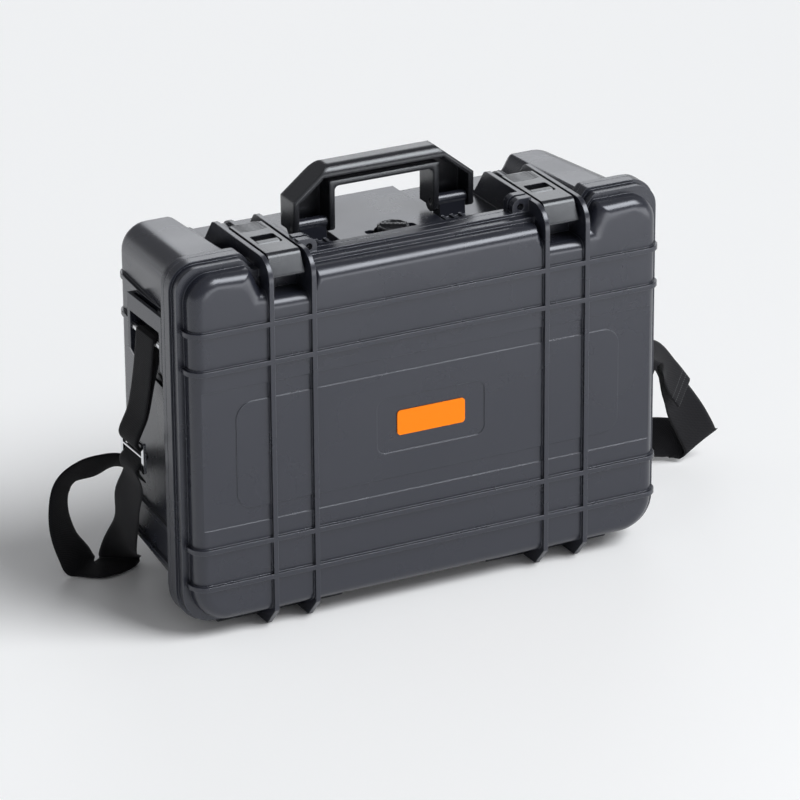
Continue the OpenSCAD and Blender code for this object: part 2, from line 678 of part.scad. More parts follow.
// way points of the loose webbing: centre, direction of the width, fold
floor_way = [
    [[-288, 64, 146], [0, 1, 0], 0],
    [[-283, 92, 108], [-0.11, 0.99, 0.02], 0],
    [[-269, 132, 54], [-0.25, 0.73, 0.6], 0],
    [[-254, 182, 8], [-0.77, 0.64, 0], 1],
    [[-258, 179, 2.6], [-0.66, 0.75, 0], 1],
    [[-279, 171, 2.6], [-0.1, 1, 0], 1],
    [[-297, 183, 7], [0.85, 0.5, 0.1], 0.5],
    [[-312, 182, 30], [0.82, 0.57, -0.07], 0],
    [[-321, 182, 64], [0.77, 0.58, -0.26], 0],
    [[-317, 184, 95], [0.56, 0.51, -0.65], 0],
    [[-298, 188, 109], [0.32, 0.6, -0.73], 0],
    [[-271, 193, 109], [0.21, 0.59, -0.78], 0],
    [[-238, 196, 106], [0.33, 0.71, -0.62], 0],
    [[-188, 190, 84], [0.15, 0.35, -0.92], 0],
    [[-120, 182, 46], [0.03, 0.1, -1], 0],
    [[-40, 179, 27], [0, 0.03, -1], 0],
    [[60, 178, 25], [0, 0.03, -1], 0],
    [[180, 178, 25], [0, 0.03, -1], 0],
    [[290, 176, 25], [0, -0.05, -1], 0],
    [[345, 164, 26], [-0.05, -0.15, -0.97], 0],
    [[377, 151, 27], [-0.1, -0.3, -0.95], 0.3],
    [[399, 143, 24], [-0.6, -0.15, -0.78], 1],
    [[414, 136, 19], [-0.86, 0, -0.5], 1],
    [[423, 128, 21], [-0.86, 0, -0.5], 1],
    [[411, 126, 46], [-0.82, -0.02, -0.56], 0.6],
    [[396, 126, 72], [-0.75, -0.2, -0.62], 0],
    [[381, 123, 98], [-0.68, -0.53, -0.5], 0],
    [[361, 117, 131], [-0.37, -0.76, -0.52], 0],
    [[325, 92, 153], [-0.12, -0.97, -0.2], 0],
    [[291, 64, 147], [0, -1, 0], 0]];
tail_way = [
    [[300, 64, 149], [0, -1, 0], 0],
    [[329, 85, 157], [-0.12, -0.97, -0.2], 0],
    [[360, 107, 138], [-0.37, -0.76, -0.52], 0],
    [[377, 111, 113], [-0.55, -0.6, -0.5], 0],
    [[392, 111, 91], [-0.72, -0.55, -0.3], 0]];

module shoulder_strap() color("#17171a") {
    y_way = [0, 1, 0];
    loop = concat(ply_up(ply), turned(over_pin()), turned(ply_up(0)));
    left_end = concat([[slide_x + weave - 7, strap_y, slide_z - 29]], loop);
    centres = concat(flipped(left_end), [for (q = floor_way) placed(q[0])], loop, [for (q = tail_way) placed(q[0])]);
    widths = concat([for (q = left_end) y_way], [for (q = floor_way) q[1]], [for (q = loop) -y_way],
                    [for (q = tail_way) q[1]]);
    folds = concat([for (q = left_end) 0], [for (q = floor_way) q[2]], [for (q = loop) 0], [for (q = tail_way) q[2]]);
    ribbon(spline(centres, 3), spline(widths, 3), spline(folds, 3), strap_w, strap_t);
}

// ---- foam -------------------------------------------------------------------

pad_t = 10.6;

module base_pad() color(foam_c) intersection() {
    body_skin(wall + 0.5, 20, body_d - wall - 0.4);
    box(-big, big, body_d - wall - 0.4 - pad_t, body_d, 0, big);
}

module base_foam() color(foam_c) difference() {
    intersection() {
        loft([body_ring(body_d - wall, wall + 0.3), body_ring(1, wall + 0.3)]);
        box(-big, big, 4, body_d - wall - 0.8 - pad_t, -big, big);
    }
    // laptop pocket with two finger notches
    front_plate(0, 4 + laptop_t) round_rect(-laptop_w / 2, laptop_w / 2, 50, 50 + laptop_h, 8);
    both_sides() lug_block(lug_in - 1.5, big, 1.5);
    box(-27, 27, -1, 70, deck_z - 28, big);
}

module lid_foam() color(foam_c) difference() {
    front_plate(-lid_d + wall + 0.4, -12) round_rect(-hw + 26, hw - 26, rim_z0 + 21, recess_z - sill_r - 0.5, 20);
}

// ---- the parts ----------------------------------------------------------------

body_shell();
lid_shell();
lid_gasket();
label_plate();
mirror([1, 0, 0]) hinge_pin();  // hinge_pin_left
hinge_pin();  // hinge_pin_right
mirror([1, 0, 0]) latch_lever();  // latch_lever_left
latch_lever();  // latch_lever_right
mirror([1, 0, 0]) latch_pin();  // latch_pin_left
latch_pin();  // latch_pin_right
mirror([1, 0, 0]) latch_claw();  // latch_claw_left
latch_claw();  // latch_claw_right
mirror([1, 0, 0]) claw_pin();  // claw_pin_left
claw_pin();  // claw_pin_right
handle();
mirror([1, 0, 0]) handle_pin();  // handle_pin_left
handle_pin();  // handle_pin_right
valve_knob();
valve_stem();
valve_seal();
valve_nut();
mirror([1, 0, 0]) strap_pin();  // strap_pin_left
strap_pin();  // strap_pin_right
mirror([1, 0, 0]) strap_slide();  // strap_slide_left
strap_slide();  // strap_slide_right
shoulder_strap();
base_pad();
base_foam();
lid_foam();
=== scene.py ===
import json
import math

import bpy
import bmesh
import numpy as np
from mathutils import Matrix, Vector


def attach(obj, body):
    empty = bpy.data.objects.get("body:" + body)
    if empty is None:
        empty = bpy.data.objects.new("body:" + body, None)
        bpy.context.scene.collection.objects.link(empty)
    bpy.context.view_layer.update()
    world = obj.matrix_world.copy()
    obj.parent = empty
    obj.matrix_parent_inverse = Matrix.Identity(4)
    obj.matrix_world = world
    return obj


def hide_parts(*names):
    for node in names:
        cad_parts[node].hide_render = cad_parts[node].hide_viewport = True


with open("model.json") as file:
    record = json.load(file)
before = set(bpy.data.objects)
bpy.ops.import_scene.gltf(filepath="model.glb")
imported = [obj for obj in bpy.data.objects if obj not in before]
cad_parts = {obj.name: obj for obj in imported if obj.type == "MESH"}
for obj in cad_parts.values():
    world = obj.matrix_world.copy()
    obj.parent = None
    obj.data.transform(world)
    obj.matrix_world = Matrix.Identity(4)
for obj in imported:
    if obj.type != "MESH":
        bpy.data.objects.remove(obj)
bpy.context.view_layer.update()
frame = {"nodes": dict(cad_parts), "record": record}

print("frame loaded:", len(frame["nodes"]), "nodes")

view = {
    # the eye and the picture's three directions, in metres in the object's frame
    "place": (-2.09497, -4.04989, 2.11249),
    "right": (0.88724, -0.46127, -0.00504),
    "up": (0.18083, 0.33773, 0.92371),
    "forward": (0.42438, 0.82046, -0.38307),
    "lens": 216.0, "sensor": 36, "reach": 50,
    "shift": (-0.01497, -0.02230),
}


# The camera's X, Y and Z axes are the picture's right, its up and the way back to the eye.
def makeCamera(v):
    cam = bpy.data.cameras.new("studioCamera")
    cam.sensor_width = v["sensor"]
    cam.lens = v["lens"]
    cam.shift_x, cam.shift_y = v["shift"]
    cam.clip_end = v["reach"]
    holder = bpy.data.objects.new("studioCamera", cam)
    right, up, forward = (Vector(v[key]).normalized() for key in ("right", "up", "forward"))
    turn = Matrix((right, up, -forward)).transposed().to_4x4()
    holder.matrix_world = Matrix.Translation(Vector(v["place"])) @ turn
    bpy.context.scene.collection.objects.link(holder)
    bpy.context.scene.camera = holder


makeCamera(view)

suns = {
    # name: direction towards the light, strength, width of the soft source in degrees, colour
    "keyLight": ((0.46, -0.50, 0.74), 2.55, 34, (0.97, 0.985, 1.0)),
    "backLight": ((0.40, 0.78, 0.36), 0.30, 26, (0.95, 0.97, 1.0)),
}


# A sun shines against its own Z axis, so that axis is turned towards the light.
def makeSuns(table):
    for name, (towards, strength, spread, color) in table.items():
        lamp = bpy.data.lights.new(name, "SUN")
        lamp.energy, lamp.angle, lamp.color = strength, math.radians(spread), color
        holder = bpy.data.objects.new(name, lamp)
        holder.matrix_world = Vector(towards).to_track_quat("Z", "Y").to_matrix().to_4x4()
        bpy.context.scene.collection.objects.link(holder)


makeSuns(suns)


# a soft box lying on the floor in front, seen only as the sheen on the upper front
lowBox = {"place": (0.85, -1.45, 0.03), "aim": (0.0, 0.0, 0.55), "size": (2.4, 1.2), "power": 22.0}


# A rectangle at its place, its Z axis turned away from the point it is aimed at.
def makeLowBox(v):
    lamp = bpy.data.lights.new("lowBox", "AREA")
    lamp.shape = "RECTANGLE"
    lamp.size, lamp.size_y = v["size"]
    lamp.energy = v["power"]
    holder = bpy.data.objects.new("lowBox", lamp)
    towards = Vector(v["place"]) - Vector(v["aim"])
    turn = towards.to_track_quat("Z", "Y").to_matrix().to_4x4()
    holder.matrix_world = Matrix.Translation(v["place"]) @ turn
    holder.visible_camera = False
    bpy.context.scene.collection.objects.link(holder)


makeLowBox(lowBox)


# One shader node: a value goes to the input of that name, or else to the node's own setting.
def newNode(tree, kind, at=(0, 0), **values):
    node = tree.nodes.new(kind)
    node.location = at
    for key, value in values.items():
        if key in node.inputs:
            node.inputs[key].default_value = value
        else:
            setattr(node, key, value)
    return node


# "wallTop" and "ceilingFrom" are heights of the view direction, 0 level and 1 straight up
room = {"color": (0.97, 0.98, 1.0, 1), "walls": 1.0, "ceiling": 0.27, "wallTop": 0.02, "ceilingFrom": 0.2}


# White round the horizon and dimmer overhead: the strength falls smoothly with the direction's height.
def makeWorld(v):
    world = bpy.data.worlds.new("paleRoom")
    world.use_nodes = True
    tree = world.node_tree
    coord = newNode(tree, "ShaderNodeTexCoord", (-800, 0))
    split = newNode(tree, "ShaderNodeSeparateXYZ", (-600, 0))
    fade = newNode(tree, "ShaderNodeMapRange", (-400, 0), interpolation_type="SMOOTHSTEP", **{
        "From Min": v["wallTop"], "From Max": v["ceilingFrom"],
        "To Min": v["walls"], "To Max": v["ceiling"]})
    shade = tree.nodes["Background"]
    shade.inputs["Color"].default_value = v["color"]
    tree.links.new(coord.outputs["Generated"], split.inputs[0])
    tree.links.new(split.outputs["Z"], fade.inputs["Value"])
    tree.links.new(fade.outputs["Result"], shade.inputs["Strength"])
    bpy.context.scene.world = world


makeWorld(room)
bpy.context.scene.view_settings.view_transform = "Standard"

floorLook = {"half": 40.0, "drop": 0.0004, "color": (0.97, 0.97, 0.97, 1), "rough": 0.85, "specular": 0.1}


# A level square of three by three points, a hair under the object's feet.
def makeFloor(v):
    line = np.linspace(-v["half"], v["half"], 3)
    gx, gy = np.meshgrid(line, line)
    points = np.stack([gx.ravel(), gy.ravel(), np.full(gx.size, -v["drop"])], 1)
    corner = (np.arange(2)[:, None] * 3 + np.arange(2)).ravel()
    quads = np.stack([corner, corner + 1, corner + 4, corner + 3], 1)
    mesh = bpy.data.meshes.new("studioFloor")
    mesh.from_pydata(points.tolist(), [], quads.tolist())
    floor = bpy.data.objects.new("studioFloor", mesh)
    bpy.context.scene.collection.objects.link(floor)
    mat = bpy.data.materials.new("paleFloor")
    mat.use_nodes = True
    shade = mat.node_tree.nodes["Principled BSDF"]
    shade.inputs["Base Color"].default_value = v["color"]
    shade.inputs["Roughness"].default_value = v["rough"]
    shade.inputs["Specular IOR Level"].default_value = v["specular"]
    mesh.materials.append(mat)


makeFloor(floorLook)
print("camera, lights, room and floor are in place")


# An empty node group: inputs and outputs are lists of (name, socket kind, default).
def makeGroup(name, inputs, outputs):
    group = bpy.data.node_groups.new(name, "ShaderNodeTree")
    for label, kind, default in inputs:
        sock = group.interface.new_socket(label, in_out="INPUT", socket_type=kind)
        if default is not None:
            sock.default_value = default
    for label, kind in outputs:
        group.interface.new_socket(label, in_out="OUTPUT", socket_type=kind)
    start = group.nodes.new("NodeGroupInput")
    end = group.nodes.new("NodeGroupOutput")
    start.location, end.location = (-900, 0), (900, 0)
    return group, start, end


# Spark-eroded mould texture: two noises make fine pits, a third slow one makes matt clouds; the rounded edges
# also give the mask of the painted edge highlight.
def mouldGrainGroup():
    group, start, end = makeGroup(
        "mouldGrain",
        [("Pit Scale", "NodeSocketFloat", 1400.0), ("Cloud Scale", "NodeSocketFloat", 14.0),
         ("Rough Low", "NodeSocketFloat", 0.36), ("Rough High", "NodeSocketFloat", 0.5),
         ("Pit Depth", "NodeSocketFloat", 0.25), ("Edge Round", "NodeSocketFloat", 0.0012)],
        [("Roughness", "NodeSocketFloat"), ("Normal", "NodeSocketVector"), ("Edge", "NodeSocketFloat")])
    link = group.links.new
    coord = newNode(group, "ShaderNodeTexCoord", (-900, -300))
    pits = newNode(group, "ShaderNodeTexNoise", (-500, 100), Detail=2.0, Roughness=0.6)
    cloud = newNode(group, "ShaderNodeTexNoise", (-500, -200), Detail=4.0, Roughness=0.55)
    link(coord.outputs["Object"], pits.inputs["Vector"])
    link(coord.outputs["Object"], cloud.inputs["Vector"])
    link(start.outputs["Pit Scale"], pits.inputs["Scale"])
    link(start.outputs["Cloud Scale"], cloud.inputs["Scale"])
    spread = newNode(group, "ShaderNodeMapRange", (-200, -100), **{"From Min": 0.3, "From Max": 0.7})
    link(cloud.outputs["Fac"], spread.inputs["Value"])
    link(start.outputs["Rough Low"], spread.inputs["To Min"])
    link(start.outputs["Rough High"], spread.inputs["To Max"])
    round_ = newNode(group, "ShaderNodeBevel", (-200, 400), samples=6)
    link(start.outputs["Edge Round"], round_.inputs["Radius"])
    bump = newNode(group, "ShaderNodeBump", (200, 200), Distance=0.0002)
    link(start.outputs["Pit Depth"], bump.inputs["Strength"])
    link(pits.outputs["Fac"], bump.inputs["Height"])
    link(round_.outputs["Normal"], bump.inputs["Normal"])
    link(spread.outputs["Result"], end.inputs["Roughness"])
    link(bump.outputs["Normal"], end.inputs["Normal"])
    # where the rounded normal leans away from the plain one there is an edge, made patchy by the clouds: the
    # mask of the painted edge highlight; the product of the two normals is 0.995 on a flat and 0.80 on a full
    # edge
    plain = newNode(group, "ShaderNodeNewGeometry", (-200, 650))
    lean = newNode(group, "ShaderNodeVectorMath", (0, 600), operation="DOT_PRODUCT")
    edgeShare = newNode(group, "ShaderNodeMapRange", (200, 600), **{"From Min": 0.995, "From Max": 0.80})
    patchy = newNode(group, "ShaderNodeMath", (450, 500), operation="MULTIPLY")
    link(round_.outputs["Normal"], lean.inputs[0])
    link(plain.outputs["Normal"], lean.inputs[1])
    link(lean.outputs["Value"], edgeShare.inputs["Value"])
    link(edgeShare.outputs["Result"], patchy.inputs[0])
    link(cloud.outputs["Fac"], patchy.inputs[1])
    link(patchy.outputs[0], end.inputs["Edge"])
    return group


# Handling marks: stretched noise thresholded into thin pale rubs, masked by a slow noise; the edge mask adds
# the same pale colour on the edges as a painted highlight.
def scuffHighlightGroup():
    group, start, end = makeGroup(
        "scuffsAndEdgeHighlights",
        [("Base", "NodeSocketColor", (0.03, 0.03, 0.035, 1)),
         ("Rub And Highlight Color", "NodeSocketColor", (0.12, 0.12, 0.13, 1)),
         ("Amount", "NodeSocketFloat", 0.3), ("Scale", "NodeSocketFloat", 60.0),
         ("Edge", "NodeSocketFloat", 0.0), ("Edge Highlight", "NodeSocketFloat", 0.6)],
        [("Color", "NodeSocketColor")])
    link = group.links.new
    coord = newNode(group, "ShaderNodeTexCoord", (-1100, -200))
    mapped = newNode(group, "ShaderNodeMapping", (-900, -200), Rotation=(0.3, 0.5, 0.8),
                     Scale=(0.12, 1.0, 1.0))
    streak = newNode(group, "ShaderNodeTexNoise", (-600, -100), Detail=3.0, Roughness=0.7)
    patch = newNode(group, "ShaderNodeTexNoise", (-600, -400), Scale=9.0, Detail=2.0)
    cut = newNode(group, "ShaderNodeMapRange", (-300, -100), **{"From Min": 0.66, "From Max": 0.74})
    area = newNode(group, "ShaderNodeMapRange", (-300, -400), **{"From Min": 0.45, "From Max": 0.7})
    both = newNode(group, "ShaderNodeMath", (0, -200), operation="MULTIPLY")
    strength = newNode(group, "ShaderNodeMath", (200, -200), operation="MULTIPLY")
    # the edge mask times this amount mixes in the pale colour: a painted highlight on the edges
    wear = newNode(group, "ShaderNodeMath", (200, -450), operation="MULTIPLY")
    total = newNode(group, "ShaderNodeMath", (330, -300), operation="ADD", use_clamp=True)
    mix = newNode(group, "ShaderNodeMix", (500, 0), data_type="RGBA")
    link(coord.outputs["Object"], mapped.inputs["Vector"])
    link(mapped.outputs["Vector"], streak.inputs["Vector"])
    link(coord.outputs["Object"], patch.inputs["Vector"])
    link(start.outputs["Scale"], streak.inputs["Scale"])
    link(streak.outputs["Fac"], cut.inputs["Value"])
    link(patch.outputs["Fac"], area.inputs["Value"])
    link(cut.outputs["Result"], both.inputs[0])
    link(area.outputs["Result"], both.inputs[1])
    link(both.outputs[0], strength.inputs[0])
    link(start.outputs["Amount"], strength.inputs[1])
    link(start.outputs["Edge"], wear.inputs[0])
    link(start.outputs["Edge Highlight"], wear.inputs[1])
    link(strength.outputs[0], total.inputs[0])
    link(wear.outputs[0], total.inputs[1])
    link(total.outputs[0], mix.inputs["Factor"])
    link(start.outputs["Base"], mix.inputs["A"])
    link(start.outputs["Rub And Highlight Color"], mix.inputs["B"])
    link(mix.outputs["Result"], end.inputs["Color"])
    return group


# sewn rows at a seam: metres between the two, half a row's width, and how much of a row is thread
stitches = {"rowGap": 0.007, "rowHalf": 0.0006, "dashCut": -0.35}


# Webbing: sine waves across and along the ribbon's own UV, whose product raises the yarns and darkens the
# dips between them as painted shade.
def weaveGroup():
    group, start, end = makeGroup(
        "webbingWeave",
        [("Across", "NodeSocketFloat", 20.0), ("Along", "NodeSocketFloat", 300.0),
         ("Dip Shade", "NodeSocketColor", (0.006, 0.006, 0.007, 1)),
         ("Crest Color", "NodeSocketColor", (0.03, 0.03, 0.034, 1)),
         ("Relief", "NodeSocketFloat", 0.6), ("Thread", "NodeSocketColor", (0.05, 0.05, 0.055, 1)),
         ("Near Seam", "NodeSocketFloat", 0.02), ("Far Seam", "NodeSocketFloat", 2.1)],
        [("Color", "NodeSocketColor"), ("Normal", "NodeSocketVector")])
    link = group.links.new
    uv = newNode(group, "ShaderNodeUVMap", (-1100, 0))
    split = newNode(group, "ShaderNodeSeparateXYZ", (-900, 0))
    link(uv.outputs["UV"], split.inputs[0])
    waves = []
    for row, (axis, density) in enumerate((("X", "Across"), ("Y", "Along"))):
        times = newNode(group, "ShaderNodeMath", (-700, 200 - 300 * row), operation="MULTIPLY")
        turns = newNode(group, "ShaderNodeMath", (-550, 200 - 300 * row), operation="MULTIPLY")
        turns.inputs[1].default_value = 2 * math.pi
        sine = newNode(group, "ShaderNodeMath", (-400, 200 - 300 * row), operation="SINE")
        link(split.outputs[axis], times.inputs[0])
        link(start.outputs[density], times.inputs[1])
        link(times.outputs[0], turns.inputs[0])
        link(turns.outputs[0], sine.inputs[0])
        waves.append(sine)
    cross = newNode(group, "ShaderNodeMath", (-200, 0), operation="MULTIPLY")
    link(waves[0].outputs[0], cross.inputs[0])
    link(waves[1].outputs[0], cross.inputs[1])
    half = newNode(group, "ShaderNodeMapRange", (0, 0), **{"From Min": -1.0})
    link(cross.outputs[0], half.inputs["Value"])
    # darker where the weave dips: painted shade between the yarns
    mix = newNode(group, "ShaderNodeMix", (300, 200), data_type="RGBA")
    link(half.outputs["Result"], mix.inputs["Factor"])
    link(start.outputs["Dip Shade"], mix.inputs["A"])
    link(start.outputs["Crest Color"], mix.inputs["B"])
    # sewn rows across the band: dashes of thread at the two seams, each of two rows
    dashes = newNode(group, "ShaderNodeMath", (-200, -500), operation="GREATER_THAN")
    dashes.inputs[1].default_value = stitches["dashCut"]
    link(waves[0].outputs[0], dashes.inputs[0])
    rows = None
    seams = [(seam, step) for seam in ("Near Seam", "Far Seam") for step in (0.0, stitches["rowGap"])]
    for k, (seam, step) in enumerate(seams):
        place = newNode(group, "ShaderNodeMath", (-600, -500 - 160 * k), operation="ADD")
        place.inputs[1].default_value = step
        here = newNode(group, "ShaderNodeMath", (-450, -500 - 160 * k), operation="COMPARE")
        here.inputs[2].default_value = stitches["rowHalf"]
        link(start.outputs[seam], place.inputs[0])
        link(split.outputs["Y"], here.inputs[0])
        link(place.outputs[0], here.inputs[1])
        if rows is None:
            rows = here
        else:
            more = newNode(group, "ShaderNodeMath", (-300, -500 - 160 * k), operation="ADD")
            link(rows.outputs[0], more.inputs[0])
            link(here.outputs[0], more.inputs[1])
            rows = more
    sewn = newNode(group, "ShaderNodeMath", (0, -500), operation="MULTIPLY")
    link(rows.outputs[0], sewn.inputs[0])
    link(dashes.outputs[0], sewn.inputs[1])
    thread = newNode(group, "ShaderNodeMix", (550, 200), data_type="RGBA")
    link(sewn.outputs[0], thread.inputs["Factor"])
    link(mix.outputs["Result"], thread.inputs["A"])
    link(start.outputs["Thread"], thread.inputs["B"])
    height = newNode(group, "ShaderNodeMath", (200, -350), operation="ADD")
    link(half.outputs["Result"], height.inputs[0])
    link(sewn.outputs[0], height.inputs[1])
    bump = newNode(group, "ShaderNodeBump", (400, -200), Distance=0.0005)
    link(start.outputs["Relief"], bump.inputs["Strength"])
    link(height.outputs[0], bump.inputs["Height"])
    link(thread.outputs["Result"], end.inputs["Color"])
    link(bump.outputs["Normal"], end.inputs["Normal"])
    return group


# Open-cell foam: the distance to the nearest cell's middle gives its colour, darkest in the pits at the
# middles as painted shade, over a slow noise that varies the tone at random.
def foamGroup():
    group, start, end = makeGroup(
        "foamCells",
        [("Cell Scale", "NodeSocketFloat", 650.0), ("Pore Shade", "NodeSocketColor", (0.02, 0.02, 0.022, 1)),
         ("Cell Light", "NodeSocketColor", (0.07, 0.07, 0.078, 1)), ("Relief", "NodeSocketFloat", 0.6)],
        [("Color", "NodeSocketColor"), ("Normal", "NodeSocketVector")])
    link = group.links.new
    coord = newNode(group, "ShaderNodeTexCoord", (-900, 0))
    cells = newNode(group, "ShaderNodeTexVoronoi", (-600, 0))
    slow = newNode(group, "ShaderNodeTexNoise", (-600, -300), Scale=25.0, Detail=4.0)
    link(coord.outputs["Object"], cells.inputs["Vector"])
    link(coord.outputs["Object"], slow.inputs["Vector"])
    link(start.outputs["Cell Scale"], cells.inputs["Scale"])
    add = newNode(group, "ShaderNodeMath", (-300, 0), operation="MULTIPLY_ADD")
    add.inputs[1].default_value = 0.5
    link(slow.outputs["Fac"], add.inputs[0])
    link(cells.outputs["Distance"], add.inputs[2])
    # dark in the cell pits as painted shade, with random tone from the slow noise
    mix = newNode(group, "ShaderNodeMix", (100, 100), data_type="RGBA")
    link(add.outputs[0], mix.inputs["Factor"])
    link(start.outputs["Pore Shade"], mix.inputs["A"])
    link(start.outputs["Cell Light"], mix.inputs["B"])
    bump = newNode(group, "ShaderNodeBump", (100, -200), Distance=0.0008)
    link(start.outputs["Relief"], bump.inputs["Strength"])
    link(cells.outputs["Distance"], bump.inputs["Height"])
    link(mix.outputs["Result"], end.inputs["Color"])
    link(bump.outputs["Normal"], end.inputs["Normal"])
    return group


# Drawn steel: noise stretched along the rod gives fine lines in roughness and bump.
def turnedGroup():
    group, start, end = makeGroup(
        "drawnSteel",
        [("Stretch", "NodeSocketVector", (0.02, 1.0, 1.0)), ("Scale", "NodeSocketFloat", 900.0),
         ("Rough Low", "NodeSocketFloat", 0.22), ("Rough High", "NodeSocketFloat", 0.4)],
        [("Roughness", "NodeSocketFloat"), ("Normal", "NodeSocketVector")])
    link = group.links.new
    coord = newNode(group, "ShaderNodeTexCoord", (-900, 0))
    scale = newNode(group, "ShaderNodeVectorMath", (-700, 0), operation="MULTIPLY")
    lines = newNode(group, "ShaderNodeTexNoise", (-500, 0), Detail=3.0)
    link(coord.outputs["Object"], scale.inputs[0])
    link(start.outputs["Stretch"], scale.inputs[1])
    link(scale.outputs[0], lines.inputs["Vector"])
    link(start.outputs["Scale"], lines.inputs["Scale"])
    spread = newNode(group, "ShaderNodeMapRange", (-200, 0))
    link(lines.outputs["Fac"], spread.inputs["Value"])
    link(start.outputs["Rough Low"], spread.inputs["To Min"])
    link(start.outputs["Rough High"], spread.inputs["To Max"])
    bump = newNode(group, "ShaderNodeBump", (100, -200), Distance=0.00005, Strength=0.4)
    link(lines.outputs["Fac"], bump.inputs["Height"])
    link(spread.outputs["Result"], end.inputs["Roughness"])
    link(bump.outputs["Normal"], end.inputs["Normal"])
    return group


grain = mouldGrainGroup()
scuffsAndHighlights = scuffHighlightGroup()
weave = weaveGroup()
foamCells = foamGroup()
drawn = turnedGroup()
print("shared effects built")


# A shared effect placed in a material with its own values.
def placed(tree, group, at, values):
    node = tree.nodes.new("ShaderNodeGroup")
    node.node_tree = group
    node.location = at
    for key, value in values.items():
        node.inputs[key].default_value = value
    return node


# A new material; what is the same all over the surface is set on the shader's own sockets.
def startMaterial(name, **fixed):
    mat = bpy.data.materials.new(name)
    mat.use_nodes = True
    shade = mat.node_tree.nodes["Principled BSDF"]
    for key, value in fixed.items():
        shade.inputs[key.replace("_", " ")].default_value = value
    return mat, mat.node_tree, shade


# Moulded plastic: scuffs and a painted edge highlight set the colour, grain sets roughness and normal.
def plasticMaterial(name, v):
    fixed = {"IOR": v["ior"], "Specular_IOR_Level": v["specular"], "Specular_Tint": v["tint"]}
    mat, tree, shade = startMaterial(name, **fixed)
    fine = placed(tree, grain, (-500, -100), {
        "Pit Scale": v["pitScale"], "Cloud Scale": v["cloudScale"], "Rough Low": v["rough"][0],
        "Rough High": v["rough"][1], "Pit Depth": v["pitDepth"], "Edge Round": v["edgeRound"]})
    # this group gives both the pale rubs and the painted edge highlight
    rubs = placed(tree, scuffsAndHighlights, (-500, 300), {
        "Base": v["color"], "Rub And Highlight Color": v["rubAndHighlightColor"], "Amount": v["rubs"], "Scale": v["rubScale"],
        "Edge Highlight": v["wear"]})
    tree.links.new(fine.outputs["Edge"], rubs.inputs["Edge"])
    tree.links.new(rubs.outputs["Color"], shade.inputs["Base Color"])
    tree.links.new(fine.outputs["Roughness"], shade.inputs["Roughness"])
    tree.links.new(fine.outputs["Normal"], shade.inputs["Normal"])
    return mat


# each finish's edge amount is how strongly its edges get the painted highlight
anyPlastic = {"ior": 1.5, "tint": (0.94, 0.97, 1.0, 1), "wear": 0.8}    # used where a finish gives none
plastics = {
    "shellPlastic": {
        "color": (0.0148, 0.0160, 0.0235, 1), "rubAndHighlightColor": (0.085, 0.09, 0.105, 1),
        "rubs": 0.05, "rubScale": 55.0, "wear": 1.3, "specular": 0.72, "tint": (0.92, 0.94, 1.0, 1),
        "pitScale": 1500.0, "cloudScale": 9.0, "rough": (0.23, 0.31), "pitDepth": 0.09, "edgeRound": 0.0011},
    "latchPlastic": {
        "color": (0.0120, 0.0125, 0.0165, 1), "rubAndHighlightColor": (0.06, 0.06, 0.07, 1),
        "rubs": 0.3, "rubScale": 80.0, "specular": 0.66,
        "pitScale": 2200.0, "cloudScale": 22.0, "rough": (0.20, 0.29), "pitDepth": 0.10, "edgeRound": 0.0009},
    "knobPlastic": {
        "color": (0.0090, 0.0090, 0.0110, 1), "rubAndHighlightColor": (0.05, 0.05, 0.055, 1),
        "rubs": 0.25, "rubScale": 90.0, "specular": 0.5,
        "pitScale": 2200.0, "cloudScale": 30.0, "rough": (0.26, 0.36), "pitDepth": 0.14, "edgeRound": 0.0007},
    "handlePlastic": {
        "color": (0.0110, 0.0115, 0.0145, 1), "rubAndHighlightColor": (0.06, 0.06, 0.066, 1),
        "rubs": 0.35, "rubScale": 60.0, "specular": 0.66,
        "pitScale": 1700.0, "cloudScale": 16.0, "rough": (0.20, 0.28), "pitDepth": 0.10, "edgeRound": 0.0050},
    "labelPlastic": {
        "color": (0.90, 0.205, 0.004, 1), "rubAndHighlightColor": (0.95, 0.30, 0.03, 1),
        "rubs": 0.2, "rubScale": 70.0, "specular": 0.12,
        "pitScale": 2600.0, "cloudScale": 30.0, "rough": (0.42, 0.52), "pitDepth": 0.08, "edgeRound": 0.0005},
    "sealRubber": {
        "color": (0.0090, 0.0090, 0.0100, 1), "rubAndHighlightColor": (0.04, 0.04, 0.04, 1),
        "rubs": 0.25, "rubScale": 120.0, "specular": 0.35,
        "pitScale": 2600.0, "cloudScale": 40.0, "rough": (0.6, 0.75), "pitDepth": 0.3, "edgeRound": 0.0004},
}
looks = {name: plasticMaterial(name, anyPlastic | v) for name, v in plastics.items()}


# Steel: metal of one colour whose roughness and normal come from the drawn lines.
def steelMaterial(name, v):
    mat, tree, shade = startMaterial(name, Metallic=1.0, Base_Color=v["color"])
    lines = placed(tree, drawn, (-400, 0), {
        "Stretch": v["stretch"], "Rough Low": v["rough"][0], "Rough High": v["rough"][1]})
    tree.links.new(lines.outputs["Roughness"], shade.inputs["Roughness"])
    tree.links.new(lines.outputs["Normal"], shade.inputs["Normal"])
    return mat


steels = {
    # the lines run along the axis whose stretch is small
    "pinSteelAcross": {"color": (0.62, 0.63, 0.65, 1), "stretch": (0.02, 1.0, 1.0), "rough": (0.22, 0.38)},
    "pinSteelDeep": {"color": (0.66, 0.67, 0.68, 1), "stretch": (1.0, 0.02, 1.0), "rough": (0.2, 0.34)},
    "slideSteel": {"color": (0.82, 0.83, 0.85, 1), "stretch": (1.0, 0.05, 1.0), "rough": (0.08, 0.2)},
}
looks.update({name: steelMaterial(name, v) for name, v in steels.items()})


